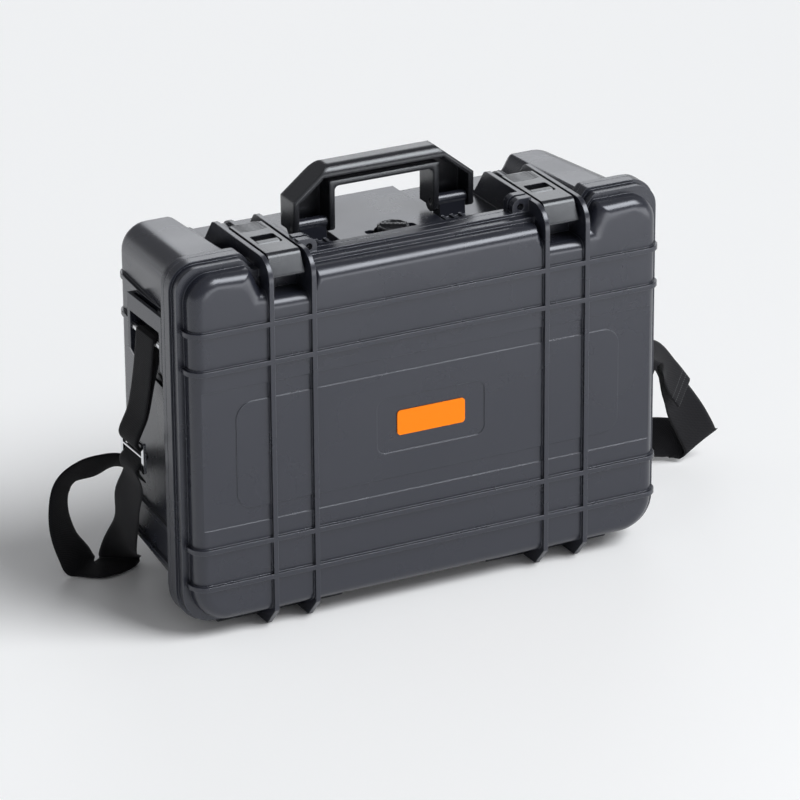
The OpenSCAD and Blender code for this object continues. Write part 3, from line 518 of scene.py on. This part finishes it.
# Cloth or foam: an effect with a colour and a normal on a plain rough shader.
def softMaterial(name, group, values, fixed):
    mat, tree, shade = startMaterial(name, **fixed)
    cells = placed(tree, group, (-400, 0), values)
    tree.links.new(cells.outputs["Color"], shade.inputs["Base Color"])
    tree.links.new(cells.outputs["Normal"], shade.inputs["Normal"])
    return mat


bandCloth = {
    # yarns over the width and per metre of length, and how far along the two seams lie
    "Across": 15.0, "Along": 420.0, "Dip Shade": (0.0035, 0.0035, 0.0042, 1),
    "Crest Color": (0.0150, 0.0150, 0.0180, 1), "Relief": 0.7, "Near Seam": 0.010, "Far Seam": 2.16,
}
bandShine = {"Roughness": 0.85, "Sheen_Weight": 0.06, "Sheen_Roughness": 0.4, "Specular_IOR_Level": 0.2}
looks["webbing"] = softMaterial("webbing", weave, bandCloth, bandShine)

cutFoam = {
    "Cell Scale": 650.0, "Pore Shade": (0.018, 0.018, 0.02, 1), "Cell Light": (0.075, 0.075, 0.082, 1),
    "Relief": 0.7,
}
foamShine = {"Roughness": 0.95, "Specular_IOR_Level": 0.15}
looks["foam"] = softMaterial("foam", foamCells, cutFoam, foamShine)
print("finishes made:", len(looks))

nodeLooks = {
    "body_shell": "shellPlastic", "lid_shell": "shellPlastic", "lid_gasket": "sealRubber",
    "label_plate": "labelPlastic", "hinge_pin": "pinSteelAcross", "latch_pin": "pinSteelAcross",
    "claw_pin": "pinSteelAcross", "handle_pin": "pinSteelAcross", "latch_lever": "latchPlastic",
    "latch_claw": "latchPlastic", "handle": "handlePlastic", "valve_knob": "knobPlastic",
    "valve_stem": "knobPlastic", "valve_nut": "knobPlastic", "valve_seal": "sealRubber",
    "strap_pin": "pinSteelDeep", "strap_slide": "slideSteel", "shoulder_strap": "webbing",
    "base_pad": "foam", "base_foam": "foam", "lid_foam": "foam",
}


# A node of a left and right pair takes the finish of the pair.
def lookOf(node):
    side = node.rsplit("_", 1)[0] if node.endswith(("_left", "_right")) else node
    return looks[nodeLooks[side]]


# The body whose list in the record has the node.
def bodyOf(node):
    return next(name for name, nodes in frame["record"]["behaviour"]["bodies"].items() if node in nodes)


# A new object at the origin, with its place in its mesh and one material.
def linked(name, mesh, mat):
    piece = bpy.data.objects.new(name, mesh)
    bpy.context.scene.collection.objects.link(piece)
    mesh.materials.clear()
    mesh.materials.append(mat)
    return piece


# The new piece rides where the CAD node rides, and the node is hidden.
def standIn(piece, node):
    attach(piece, bodyOf(node))
    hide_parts(node)
    return piece


skin = {"weld": 4e-6, "areaWeight": 90}    # metres between corners that are one; pull of the large faces


# The CAD node's triangles with their shared corners merged, all in one closed skin.
def weldedMesh(node, name):
    bm = bmesh.new()
    bm.from_mesh(frame["nodes"][node].data)
    bmesh.ops.remove_doubles(bm, verts=bm.verts, dist=skin["weld"])
    mesh = bpy.data.meshes.new(name)
    bm.to_mesh(mesh)
    bm.free()
    if "custom_normal" in mesh.attributes:
        mesh.attributes.remove(mesh.attributes["custom_normal"])
    return mesh


smoothed = {
    # node: edges flatter than this many degrees are shaded as one curved surface
    "body_shell": 26, "lid_shell": 26, "handle": 30, "lid_gasket": 30,
    "latch_lever_left": 26, "latch_lever_right": 26, "latch_claw_left": 26, "latch_claw_right": 26,
}


# Each moulded piece is its CAD mesh, shaded with normals averaged by the faces' areas.
def smoothNodes(table):
    for node, degrees in table.items():
        first, *rest = node.split("_")
        name = first + "".join(word.capitalize() for word in rest) + "Skin"
        mesh = weldedMesh(node, name)
        mesh.shade_smooth()
        mesh.set_sharp_from_angle(angle=math.radians(degrees))
        piece = linked(name, mesh, lookOf(node))
        even = piece.modifiers.new("evenNormals", "WEIGHTED_NORMAL")
        even.keep_sharp = True
        even.weight = skin["areaWeight"]
        standIn(piece, node)


smoothNodes(smoothed)
print("moulded pieces smoothed:", len(smoothed))


strap = {
    # metres; pin and slide are the middles of those at the right side
    "width": 0.044, "thick": 0.0019, "pin": (0.2655, 0.063, 0.300), "pinRound": 0.0053,
    "slide": (0.287, 0.063, 0.180), "barGap": 0.0145, "weave": 0.0035, "ply": 0.0029,
    # above the slide: how far in and how high the two way points lie, and the plies' spread at the
    # top; below the left slide: how far in and how far down the short ply ends
    "leanIn": (0.005, 0.012), "rise": (0.042, 0.080), "topSpread": 1.6, "leftEnd": (0.007, 0.029),
    # the section: points over the width, and the power that squares its selvedges
    "lanes": 15, "selvedge": 14, "steps": 10, "slantLimit": 0.8,
    # where it hangs free: first row, rows held at the far end, rows of easing, cup and ripple
    "freeFrom": 17, "heldRows": 4, "easeRows": 2, "cup": 0.0011, "cupMiddle": 0.4,
    "ripple": 0.0007, "rippleAlong": 41, "rippleSkew": 2.1, "rippleBeat": 17,
}
# way points in millimetres, then the direction of the width there and how far the band is folded
backWay = np.array([
    (-288, 64, 146, 0, 1, 0, 0), (-283, 92, 108, -0.11, 0.99, 0.02, 0),
    (-269, 132, 54, -0.25, 0.73, 0.6, 0), (-254, 182, 8, -0.77, 0.64, 0, 1),
    (-258, 179, 2.6, -0.66, 0.75, 0, 1), (-279, 171, 2.6, -0.1, 1, 0, 1),
    (-297, 183, 7, 0.85, 0.5, 0.1, 0.5), (-312, 182, 30, 0.82, 0.57, -0.07, 0),
    (-321, 182, 64, 0.77, 0.58, -0.26, 0), (-317, 184, 95, 0.56, 0.51, -0.65, 0),
    (-298, 188, 109, 0.32, 0.6, -0.73, 0), (-271, 193, 109, 0.21, 0.59, -0.78, 0),
    (-238, 196, 106, 0.33, 0.71, -0.62, 0), (-188, 190, 84, 0.15, 0.35, -0.92, 0),
    (-120, 182, 46, 0.03, 0.1, -1, 0), (-40, 179, 27, 0, 0.03, -1, 0), (60, 178, 25, 0, 0.03, -1, 0),
    (180, 178, 25, 0, 0.03, -1, 0), (290, 176, 25, 0, -0.05, -1, 0),
    (345, 164, 26, -0.05, -0.15, -0.97, 0), (377, 151, 27, -0.1, -0.3, -0.95, 0.3),
    (399, 143, 24, -0.6, -0.15, -0.78, 1), (414, 136, 19, -0.86, 0, -0.5, 1),
    (423, 128, 21, -0.86, 0, -0.5, 1), (411, 126, 46, -0.82, -0.02, -0.56, 0.6),
    (396, 126, 72, -0.75, -0.2, -0.62, 0), (381, 123, 98, -0.68, -0.53, -0.5, 0),
    (361, 117, 131, -0.37, -0.76, -0.52, 0), (325, 92, 153, -0.12, -0.97, -0.2, 0),
    (291, 64, 147, 0, -1, 0, 0)])
tailWay = np.array([
    (300, 64, 149, 0, -1, 0, 0), (329, 85, 157, -0.12, -0.97, -0.2, 0),
    (360, 107, 138, -0.37, -0.76, -0.52, 0), (377, 111, 113, -0.55, -0.6, -0.5, 0),
    (392, 111, 91, -0.72, -0.55, -0.3, 0)])


# Rows of centre, width direction and fold, from the left slide round the back to the loose end.
def strapWay(v):
    sx, sy, sz = v["slide"]
    gap, over = v["barGap"], v["weave"]

    # one ply from under the slide to just below the pin, d metres further in
    def plyUp(d):
        far = sx + over + v["ply"] - d
        return [(far, sy, sz - gap), (sx - over - d, sy, sz), (far, sy, sz + gap),
                (sx - v["leanIn"][0] - d, sy, sz + v["rise"][0]),
                (sx - v["leanIn"][1] - v["topSpread"] * d, sy, sz + v["rise"][1])]

    turn = np.radians(np.arange(180, -1, -45))
    top = np.stack([v["pin"][0] + v["pinRound"] * np.cos(turn), np.full(turn.size, v["pin"][1]),
                    v["pin"][2] + v["pinRound"] * np.sin(turn)], 1)
    loop = np.concatenate([plyUp(v["ply"]), top, plyUp(0)[::-1]])
    leftEnd = (sx + over - v["leftEnd"][0], sy, sz - v["leftEnd"][1])
    left = np.concatenate([[leftEnd], loop]) * (-1, 1, 1)

    def rows(centres, side):
        return np.column_stack([centres, np.tile((0, side, 0, 0), (len(centres), 1))])

    scale = (0.001, 0.001, 0.001, 1, 1, 1, 1)
    return np.concatenate([rows(left, 1), backWay * scale, rows(loop, -1), tailWay * scale])


# Cubic curve through the rows: each is passed in the direction from the row before to the row after.
def smoothWay(way, steps):
    t = (np.arange(steps) / steps)[None, :, None]
    spot = np.arange(len(way) - 1)
    a, b, c, d = (way[np.clip(spot + k, 0, len(way) - 1)][:, None, :] for k in (-1, 0, 1, 2))
    bend = (2 * a - 5 * b + 4 * c - d) * t ** 2
    twist = (3 * b - a - 3 * c + d) * t ** 3
    curve = 0.5 * (2 * b + (c - a) * t + bend + twist)
    return np.concatenate([curve.reshape(-1, way.shape[1]), way[-1:]])


# Each row divided by its length.
def unit(rows):
    return rows / np.linalg.norm(rows, axis=-1, keepdims=True)


# Centres, across and upward directions along the band, the length so far and how loose it lies.
def bandFrame(v):
    way = strapWay(v)
    n = v["steps"]
    rows = smoothWay(way, n)
    centre, side, fold = rows[:, :3], rows[:, 3:6], np.clip(rows[:, 6:], 0, 1)
    along = unit(np.concatenate([centre[1:], centre[-1:]]) - np.concatenate([centre[:1], centre[:-1]]))
    slant = unit(side - (1 - fold) * (side * along).sum(1, keepdims=True) * along)
    square = np.linalg.norm(slant - (slant * along).sum(1, keepdims=True) * along, axis=1, keepdims=True)
    across = slant / np.maximum(square, v["slantLimit"])
    up = unit(np.cross(along, across))
    run = np.concatenate([[0], np.cumsum(np.linalg.norm(np.diff(centre, axis=0), axis=1))])
    index = np.arange(len(rows)) / n
    first = v["freeFrom"]
    last = first + len(backWay) - v["heldRows"]
    loose = np.clip((index - first) / v["easeRows"], 0, 1) * np.clip((last - index) / v["easeRows"], 0, 1)
    return centre, across, up, run, loose


# A tube of rows by columns, closed round and capped by a face at each end.
def closedGrid(name, points, mat, uv=None):
    rows, cols = points.shape[:2]
    i, j = np.meshgrid(np.arange(rows - 1), np.arange(cols), indexing="ij")
    k = (j + 1) % cols
    quads = np.stack([i * cols + j, i * cols + k, (i + 1) * cols + k, (i + 1) * cols + j], -1).reshape(-1, 4)
    caps = [np.arange(cols)[::-1].tolist(), ((rows - 1) * cols + np.arange(cols)).tolist()]
    mesh = bpy.data.meshes.new(name)
    mesh.from_pydata(points.reshape(-1, 3).tolist(), [], quads.tolist() + caps)
    if uv is not None:
        corner = np.empty(len(mesh.loops), np.int64)
        mesh.loops.foreach_get("vertex_index", corner)
        layer = mesh.uv_layers.new(name="UVMap")
        layer.data.foreach_set("uv", uv.reshape(-1, 2)[corner].astype(np.float32).ravel())
    mesh.shade_smooth()
    return linked(name, mesh, mat)


# Webbing: a flat section with rounded selvedges, carried along the route, cupped where it is loose.
def makeStrap(v):
    centre, across, up, run, loose = bandFrame(v)
    n = v["lanes"]
    lane = np.concatenate([np.linspace(-1, 1, n), np.linspace(1, -1, n)[1:-1]])
    face = np.concatenate([np.ones(n), -np.ones(n - 2)]) * (1 - np.abs(lane) ** v["selvedge"]) ** 0.5
    way = run[:, None]
    crests = np.sin(way * v["rippleAlong"] + v["rippleSkew"] * lane)
    wave = v["ripple"] * crests * np.sin(way * v["rippleBeat"])
    lift = face * v["thick"] / 2 + loose[:, None] * (v["cup"] * (lane ** 2 - v["cupMiddle"]) + wave)
    sideways = across[:, None] * (lane * v["width"] / 2)[None, :, None]
    points = centre[:, None] + sideways + up[:, None] * lift[:, :, None]
    uv = np.stack(np.broadcast_arrays((lane * 0.5 + 0.5)[None, :], way), -1)
    piece = closedGrid("shoulderWebbing", points, looks["webbing"], uv)
    print("strap length along its middle: %.3f m" % run[-1])
    return standIn(piece, "shoulder_strap")


makeStrap(strap)

foams = {
    # face size in metres, rounds of smoothing at the cut edges; the egg crate's depth, pitch and rim
    "base_foam": {"cell": 0.0036, "soften": 5, "crate": 0.0},
    "base_pad": {"cell": 0.0032, "soften": 3, "crate": 0.0},
    "lid_foam": {"cell": 0.0034, "soften": 5, "crate": 0.0150, "pitch": 0.044, "rim": 0.012},
}


# The CAD foam remeshed in small even faces with its edges eased. The egg crate lowers a point by a
# product of cosines over X and Z, times the square of how near it is to the open face.
def softCopy(node, v):
    name = "".join(word.capitalize() for word in node.split("_")) + "Cut"
    raw = linked(name + "Raw", weldedMesh(node, name + "Raw"), looks["foam"])
    even = raw.modifiers.new("evenFaces", "REMESH")
    even.mode = "VOXEL"
    even.voxel_size = v["cell"]
    even.use_smooth_shade = True
    ease = raw.modifiers.new("easedEdges", "SMOOTH")
    ease.factor = 0.5    # each round takes a point half the way to its neighbours' mean
    ease.iterations = v["soften"]
    graph = bpy.context.evaluated_depsgraph_get()
    mesh = bpy.data.meshes.new_from_object(raw.evaluated_get(graph))
    bpy.data.objects.remove(raw)
    mesh.name = name
    points = np.empty(len(mesh.vertices) * 3, np.float32)
    mesh.vertices.foreach_get("co", points)
    points = points.reshape(-1, 3)
    if v["crate"]:
        low, high = points.min(0), points.max(0)
        middle = (low + high) / 2
        share = np.clip((points[:, 1] - low[1]) / (high[1] - low[1]), 0, 1)
        inset = np.minimum(points - low, high - points)
        rim = np.clip(np.minimum(inset[:, 0], inset[:, 2]) / v["rim"], 0, 1)
        turnX, turnZ = ((points[:, k] - middle[k]) * math.tau / v["pitch"] for k in (0, 2))
        wave = np.cos(turnX) * np.cos(turnZ)
        points[:, 1] -= share ** 2 * v["crate"] * (0.5 - 0.5 * wave) * rim
    mesh.vertices.foreach_set("co", points.ravel())
    mesh.shade_smooth()
    piece = standIn(linked(name, mesh, looks["foam"]), node)
    return piece


for node, values in foams.items():
    softCopy(node, values)
print("strap and foams are in place")


knob = {
    # metres: where it stands, its radius, the lobes, the dish, the grip bar and the rings in the dish
    "middle": (0.0, 0.040), "floor": 0.3702, "top": 0.3832, "radius": 0.0170, "pole": 0.0004,
    "lobes": 10, "lobeDepth": 0.0011, "lobePower": 0.7, "footDepth": 0.35,    # share of a lobe at the foot
    "dish": 0.0016, "barHalf": 0.0034, "barHeight": 0.0017, "barEase": 0.0012, "barTurn": 0.5,
    "rings": 4, "ringDepth": 0.00025,
    # shares of the surface line: the skirt; of the way in: the rim and where the dish begins and ends
    "skirt": 0.30, "rim": 0.12, "rimDrop": 0.14, "dishFrom": 0.14, "dishEase": 0.1,
    # shares of the radius: the bar's reach and the ease of its ends
    "barReach": 0.86, "barEndEase": 0.08,
    "turns": 240, "rows": 60, "sharpFrom": 40,
}


# A surface line from the foot up the skirt and over the rim to the middle, turned round the axis. The
# skirt's radius swells with the lobes' cosine, the top is dished with a smooth step and waved by rings,
# and the bar rises where the distance from its line is less than half its width.
def makeKnob(v):
    turns = np.linspace(0, math.tau, v["turns"], endpoint=False)[None, :]
    step = np.linspace(0, 1, v["rows"])[:, None]
    skirt = np.clip(step / v["skirt"], 0, 1)
    inward = np.clip((step - v["skirt"]) / (1 - v["skirt"]), 0, 1)
    scallop = v["lobeDepth"] * np.abs(np.cos(turns * v["lobes"] / 2)) ** v["lobePower"]
    swell = v["footDepth"] + (1 - v["footDepth"]) * np.sin(skirt * math.pi / 2)
    outer = v["radius"] - v["lobeDepth"] + scallop * swell
    radius = outer * (1 - inward) + v["pole"] * inward
    body = v["top"] - v["floor"] - v["barHeight"]
    roll = np.sqrt(np.clip(1 - np.clip((v["rim"] - inward) / v["rim"], 0, 1) ** 2, 0, 1))
    height = v["floor"] + body * skirt * (1 - v["rimDrop"] + v["rimDrop"] * roll)
    dished = np.clip((inward - v["dishFrom"]) / v["dishEase"], 0, 1)
    rings = v["ringDepth"] * np.cos(inward * math.tau * v["rings"]) * dished
    height = height - v["dish"] * (3 * dished ** 2 - 2 * dished ** 3) + rings
    aside = np.abs(radius * np.sin(turns + v["barTurn"]))
    thin = np.clip((v["barHalf"] - aside) / v["barEase"], 0, 1)
    short = np.clip((v["barReach"] - radius / v["radius"]) / v["barEndEase"], 0, 1)
    bar = thin * short * (inward > 0)
    height = height + (v["dish"] + v["barHeight"]) * (3 * bar ** 2 - 2 * bar ** 3)
    midX, midY = v["middle"]
    points = np.stack([radius * np.cos(turns) + midX, radius * np.sin(turns) + midY, height], -1)
    piece = closedGrid("valveKnobTop", points, looks["knobPlastic"])
    piece.data.set_sharp_from_angle(angle=math.radians(v["sharpFrom"]))
    return standIn(piece, "valve_knob")


makeKnob(knob)
print("knob of the purge valve made")


# Each CAD node that no new piece stands for keeps its own mesh and gets its finish.
def dressNodes(replaced):
    kept = [name for name in frame["nodes"] if name not in replaced]
    for name in kept:
        piece = frame["nodes"][name]
        piece.data.materials.clear()
        piece.data.materials.append(lookOf(name))
    return kept


dressed = dressNodes({*smoothed, *foams, "shoulder_strap", "valve_knob"})
print("materials placed on", len(dressed), "CAD nodes")
